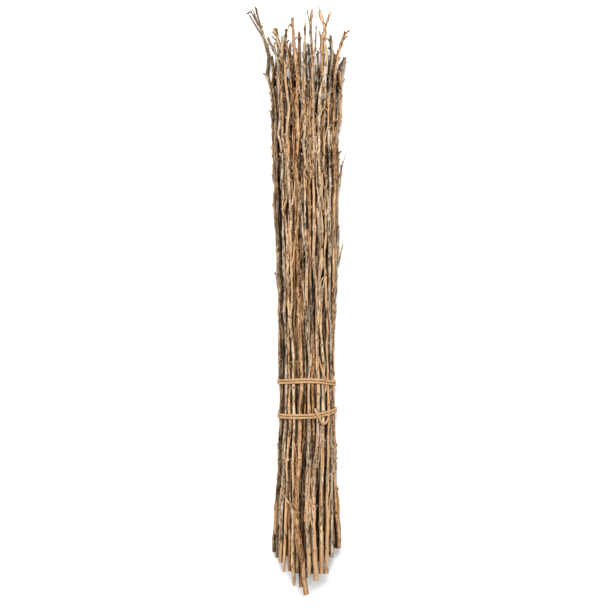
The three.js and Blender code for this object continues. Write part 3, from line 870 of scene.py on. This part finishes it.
def forkLine(start, length, angle, lean, radius):
    heights = np.linspace(start, start + length, max(6, int(length / 0.006)))
    run = np.linspace(0, 1, len(heights))
    angles = angle + lean * run ** 0.8
    reach = np.array([outsideAt(height, a, radius)[0] for height, a in zip(heights, angles)])
    eased = reach.copy()
    for _ in range(4):
        eased[1:-1] = np.maximum((eased[:-2] + eased[1:-1] + eased[2:]) / 3, reach[1:-1] - 0.0003)
    eased -= (radius * 2.2) * np.exp(-run * length / 0.006)
    x, z = axis[0] + np.cos(angles) * eased, axis[1] + np.sin(angles) * eased
    return np.column_stack([x, heights, z, radius * (1 - 0.35 * run)])


forkRandom = np.random.default_rng(8)
made = 0
while made < forks["count"]:
    start, length = forkRandom.uniform(*forks["start"]), forkRandom.uniform(*forks["length"])
    if start < tieHeights[0] + forks["clear"] and start + length > tieHeights[1] - forks["clear"]:
        continue
    angle = forkRandom.normal(math.pi / 2, 0.8) if forkRandom.random() < 0.6 else forkRandom.uniform(0, 6.3)
    radius = forkRandom.uniform(*forks["thick"])
    out, parent = outsideAt(start, angle, radius)
    if out < forks["leastOut"]:
        continue
    lean = forkRandom.choice([-1, 1]) * forkRandom.uniform(*forks["lean"]) / out * (length / 0.06)
    materials, peel, tone = woods[parent]
    line = forkLine(start, length, angle, lean, radius)
    if np.abs(np.diff(line[:, (0, 2)], axis=0)).max() > forks["jump"]:
        continue
    knots = knotsBetween(start, start + length, forkRandom)
    wood = materials, peel, tone + forks["paler"]
    grown = growTwig(shapes[parent], line, knots, None, forkGrowth, forkRandom, wood)
    addShoots(shapes[parent], grown, knots, twigGrowth, forkRandom, woods[parent])
    made += 1


# single shoots with places of their own: x, y and lift above the twigs below
lyingShoots = {
    "thin_crossing_twig": [(0.0455, -0.160, -0.001), (0.0475, -0.152, 0.0045), (0.0472, -0.139, 0.0088),
                           (0.043, -0.127, 0.0058), (0.0385, -0.112, 0.0035), (0.036, -0.102, 0.0)],
    "straight_straw_twig": [(-0.010, -0.354, -0.002), (-0.018, -0.342, 0.001), (-0.027, -0.329, 0.003)],
    "dark_centre_twig": [(0.002, -0.362, -0.002), (-0.006, -0.352, 0.002), (-0.012, -0.345, 0.003)],
}
# and x, y, z of those that stand free: the bar and two tines of the fan, and one at the hooked tip
freeShoots = [
    ("fan_tipped_twig", [(-0.0898, 0.4932, 0.0275), (-0.0850, 0.4958, 0.028), (-0.0800, 0.4986, 0.029)]),
    ("fan_tipped_twig", [(-0.0688, 0.4735, 0.027), (-0.0750, 0.4860, 0.028), (-0.0812, 0.4972, 0.0285)]),
    ("fan_tipped_twig", [(-0.0690, 0.4850, 0.028), (-0.0712, 0.4950, 0.030), (-0.0742, 0.5052, 0.030)]),
    ("hooked_tip_twig", [(-0.0215, 0.4238, 0.062), (-0.0345, 0.4385, 0.064), (-0.0450, 0.4490, 0.064)]),
]
loneMake = {"lyingRadius": 0.0016, "darker": 0.1, "freeRadius": 0.0013, "freeWood": ((0, 1), 0.2, -0.25)}


def topAt(x, height, radius):
    # how high a thin shoot lies on the twigs here
    circles = circlesAt(height)[0]
    room = (circles[:, 2] + radius) ** 2 - (circles[:, 0] - x) ** 2
    return np.where(room > 0, circles[:, 1] + np.sqrt(np.maximum(room, 0)), radius).max()


for name, shoot in lyingShoots.items():
    parent, radius = trunkNames.index(name), loneMake["lyingRadius"]
    materials, peel, tone = woods[parent]
    line = np.array([(x, y, topAt(x, y, radius) + lift, radius) for x, y, lift in shoot])
    growTwig(shapes[parent], line, [], None, {**forkGrowth, "sides": 9}, forkRandom,
             (materials, peel, tone - loneMake["darker"]))
for name, shoot in freeShoots:
    line = np.array([(*place, loneMake["freeRadius"]) for place in shoot])
    shape = shapes[trunkNames.index(name)]
    growTwig(shape, line, [line[1, 1]], None, forkGrowth, forkRandom, loneMake["freeWood"])
print("forks laid,", made)


branchMake = {"foot": 0.009, "peel": 0.3, "tone": 0.4, "fanTone": -0.4}


def parentPoint(line):
    # the middle of the nearest twig, a little before the branch begins
    start = line[0]
    circles, found = circlesAt(start[1])
    near = found[np.argmin(np.hypot(circles[:, 0] - start[0], circles[:, 1] - start[2]))]
    before = start[1] - branchMake["foot"]
    x, z = (np.interp(before, levels, centresAt[near, :, c]) for c in (0, 1))
    return np.array([x, before, z])


def showAs(piece, node):
    # the piece moves with the bundle's one body and shows in place of this solid
    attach(piece, "root")
    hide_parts(node)


pieces = {}
for name, shape in zip(trunkNames, shapes):
    pieces[name] = shape.build(name + "_wood", [barkMaterials[slotOf[name]], cutWood])
for name in branchNames:
    shape = Shape()
    line = branchLines[name]
    knots = knotsBetween(line[0, 1], line[-1, 1], growRandom)
    inFan = name.startswith("fan")
    wood = (0, 1), branchMake["peel"], branchMake["fanTone" if inFan else "tone"]
    grown = growTwig(shape, line, knots, None, twigGrowth, growRandom, wood, foot=parentPoint(line))
    if not inFan:
        addShoots(shape, grown, knots, twigGrowth, growRandom, wood)
    pieces[name] = shape.build(name + "_wood", [barkMaterials[slotOf[name]], cutWood])
for group, shape in enumerate(innerShapes):
    showAs(shape.build(f"inner_group_{group + 1}", [*barkMaterials.values(), cutWood]), innerName)
print("twigs built,", len(pieces) + len(innerShapes))


# the two ties and the free end of the lower one: three plies twisted into one cord

cordMake = {
    "radius": 0.002, "plyRadius": 0.00108, "plyOffset": 0.00098, "twist": 0.0115, "step": 0.0011, "sides": 9,
    "bite": 0.0001, "turns": 2.15, "startAngle": -1.9, "turnApart": 0.0046,
    "fibres": 0.25, "fibreRadius": 0.00009, "fibreLength": (0.004, 0.012),
}
ties = {
    "upper_tie": {"height": -0.139, "riseLeft": -0.0025, "riseRight": -0.007},
    "lower_tie": {"height": -0.1995, "riseLeft": 0.0, "riseRight": 0.007},
}
# x, y and lift of the free end above the turns
tailRoute = [(0.0135, -0.187, 0.001), (0.0155, -0.1915, 0.0038), (0.0175, -0.1955, 0.005), (0.0205, -0.201, 0.005),
             (0.0225, -0.206, 0.0036), (0.0245, -0.2105, 0.0012), (0.0275, -0.2137, 0.0002), (0.031, -0.213, 0.0),
             (0.0345, -0.2085, 0.0), (0.0365, -0.2035, 0.0), (0.0375, -0.199, -0.001)]
lengthShift = 0.001  # from the planned heights to the frame's own origin


def cordPoint(height, angle):
    # middle of a cord pulled tight round the twigs, where its outside faces this way
    circles = circlesAt(height)[0]
    out = np.array([math.cos(angle), math.sin(angle)])
    reach = circles[:, :2] @ out + circles[:, 2]
    held = circles[np.argmax(reach)]
    return held[:2] + out * (held[2] + cordMake["radius"] + cordMake["bite"])


def tieRoute(name):
    tie = ties[name]
    height = tie["height"] + lengthShift
    circles = circlesAt(height)[0]
    halfWidth = np.abs(circles[:, 0] - axis[0]).max() + cordMake["radius"]
    points = []
    for turned in np.linspace(0, cordMake["turns"], int(cordMake["turns"] * 240)):
        x, z = cordPoint(height, cordMake["startAngle"] - turned * 2 * math.pi)
        share = (x - axis[0]) / halfWidth
        rise = (tie["riseRight"] if share > 0 else tie["riseLeft"]) * share * share
        points.append([x, height + cordMake["turnApart"] * (turned - 1) + rise, z])
    return np.array(points)


def tailPoints(turns):
    top = turns[np.argmax(turns[:, 2])]
    level = top[2] - bodyRise(top[0] - axis[0], top[1])
    return np.array([(x + axis[0], y + lengthShift, level + bodyRise(x, y) + lift) for x, y, lift in tailRoute])


def bodyRise(x, height):
    # how high the body's outside is above its axis
    halfWidth, halfHeight = sizeAt(height)
    return halfHeight * math.sqrt(max(0.0, 1 - (x / halfWidth) ** 2))


def evenly(points, step):
    # the same route with its points a step apart and its corners eased
    run = np.append(0, np.cumsum(np.linalg.norm(np.diff(points, axis=0), axis=1)))
    keep = np.append(True, np.diff(run) > 1e-7)
    at = np.linspace(0, run[-1], int(run[-1] / step))
    even = np.stack([np.interp(at, run[keep], points[keep, column]) for column in range(3)], -1)
    for _ in range(10):
        even[1:-1] = (even[:-2] + even[1:-1] * 2 + even[2:]) / 4
    return even


def makeTie(name, points, rng):
    route = evenly(points, cordMake["step"])
    along = unit(np.gradient(route, axis=0))
    middle = np.array([axis[0], 0.0, axis[1]])
    away = (route - middle) * np.array([1, 0, 1])
    outward = unit(away - along * (away * along).sum(1)[:, None])
    sideways = np.cross(along, outward)
    run = np.arange(len(route)) * cordMake["step"]
    shape = Shape()
    for ply in range(3):
        turn = 2 * math.pi * (run / cordMake["twist"] + ply / 3)
        offset = outward * np.cos(turn)[:, None] + sideways * np.sin(turn)[:, None]
        centres = route + offset * cordMake["plyOffset"]
        lumps = cordMake["plyRadius"] * (1 + smoothNoise(rng, len(run), 5, 0.06))
        place, grain, look, out, heading = plyTube(centres, lumps, offset, cordMake["sides"])
        seed = rng.uniform(0, 90)
        grain[..., 2] += seed
        look[..., 0] = 0.5 + smoothNoise(rng, len(run), 30, 0.15)[:, None]
        # painted shade between the plies: more where a ply faces in towards the cord's middle
        look[..., 1] = np.clip(0.55 - (out * offset[:, None]).sum(-1) * 0.75, 0, 1)
        shape.add(place, grain, look, np.zeros(place.shape[:2]), 0)
        for end, sense in ((-1, 1), (0, -1)):
            addEnd(shape, place[end][::sense], grain[end][::sense], np.zeros(1), heading[end] * sense, 0.5, rng, 0, 0.2)
    addFibres(shape, route, along, outward, sideways, rng)
    return shape.build(name + "_cord", [twine])


def plyTube(centres, radii, hint, sides):
    # a ply or fibre, whose grain winds round it
    place, out, along, turn, run = ringsAlong(centres, radii[:, None], sides, hint)
    skew = turn[None] + run[:, None] * 900
    grain = [np.cos(skew) * radii[:, None], np.sin(skew) * radii[:, None], np.repeat(run[:, None], sides, 1)]
    return place, np.stack(grain, -1), np.zeros_like(place), out, along


def addFibres(shape, route, along, outward, sideways, rng):
    # loose fibres that stand off the cord
    for start in rng.integers(5, len(route) - 5, int(len(route) * cordMake["fibres"])):
        turn = rng.uniform(-1.9, 1.9)
        out = outward[start] * math.cos(turn) + sideways[start] * math.sin(turn)
        heading = along[start] * rng.choice([-1, 1]) + out * rng.uniform(0.05, 0.5)
        length = rng.uniform(*cordMake["fibreLength"])
        t = np.linspace(0, 1, 6)[:, None]
        base = route[start] + out * cordMake["radius"] * 0.85
        bend = out * rng.uniform(-0.25, 0.25) + np.cross(along[start], out) * rng.normal(0, 0.3)
        centres = base + (heading * t + bend * t * t) * length
        radii = cordMake["fibreRadius"] * (1 - 0.6 * t[:, 0])
        hint = np.repeat(out[None], 6, 0)
        place, grain, look, _, heading = plyTube(centres, radii, hint, 3)
        look[..., 0], seed = rng.uniform(0.5, 1.0), rng.uniform(0, 9)
        if place[..., 2].min() > 0:
            shape.add(place, grain + seed, look, np.zeros(place.shape[:2]), 0)


cordRandom = np.random.default_rng(5)
tieRoutes = {name: tieRoute(name) for name in ties}
tieRoutes["tie_tail"] = tailPoints(tieRoutes["lower_tie"])
for name, points in tieRoutes.items():
    showAs(makeTie(name, points, cordRandom), name)
print("ties wound")

for name, piece in pieces.items():
    showAs(piece, name)


# floor and light

half = 6.0  # half the floor's width
lamps = {"key_light": {"place": (-0.12, 0.7, 2.45), "size": 0.8, "power": 94.0},
         "side_light": {"place": (0.7, 0.5, 2.6), "size": 1.8, "power": 16.0}}
sky = {"Color": (1.0, 0.99, 0.97, 1.0), "Strength": 0.55}

floorMesh = bpy.data.meshes.new("floor")
floorMesh.from_pydata([(-half, -half, 0), (half, -half, 0), (half, half, 0), (-half, half, 0)], [], [(0, 1, 2, 3)])
floor = bpy.data.objects.new("floor", floorMesh)
bpy.context.scene.collection.objects.link(floor)
floorGraph = Graph("floor_paper")
floorPlace = floorGraph.node("ShaderNodeNewGeometry", output="Position")
floorGrain = floorGraph.noise(floorPlace, (400, 400, 400), detail=2.0)
floorTint = floorGraph.blend(floorGrain, solid((0.93, 0.93, 0.93)), solid((0.95, 0.95, 0.95)))
floorMesh.materials.append(floorGraph.finish(floorTint, floorGrain * 0.05 + 0.9, floorGrain, 0.0001))

for name, lamp in lamps.items():
    data = bpy.data.lights.new(name, "AREA")
    data.shape = "DISK"
    data.size = lamp["size"]
    data.energy = lamp["power"]
    lampObject = bpy.data.objects.new(name, data)
    x, y, z = lamp["place"]
    lampObject.location = x, y, z
    lampObject.rotation_euler = (math.atan2(math.hypot(x, y), z), 0, math.atan2(-x, y) + math.pi)  # faces the origin
    bpy.context.scene.collection.objects.link(lampObject)
world = bpy.data.worlds.new("studio")
world.use_nodes = True
for key, value in sky.items():
    world.node_tree.nodes["Background"].inputs[key].default_value = value
bpy.context.scene.world = world
bpy.context.scene.view_settings.view_transform = "Standard"
print("floor and light set")
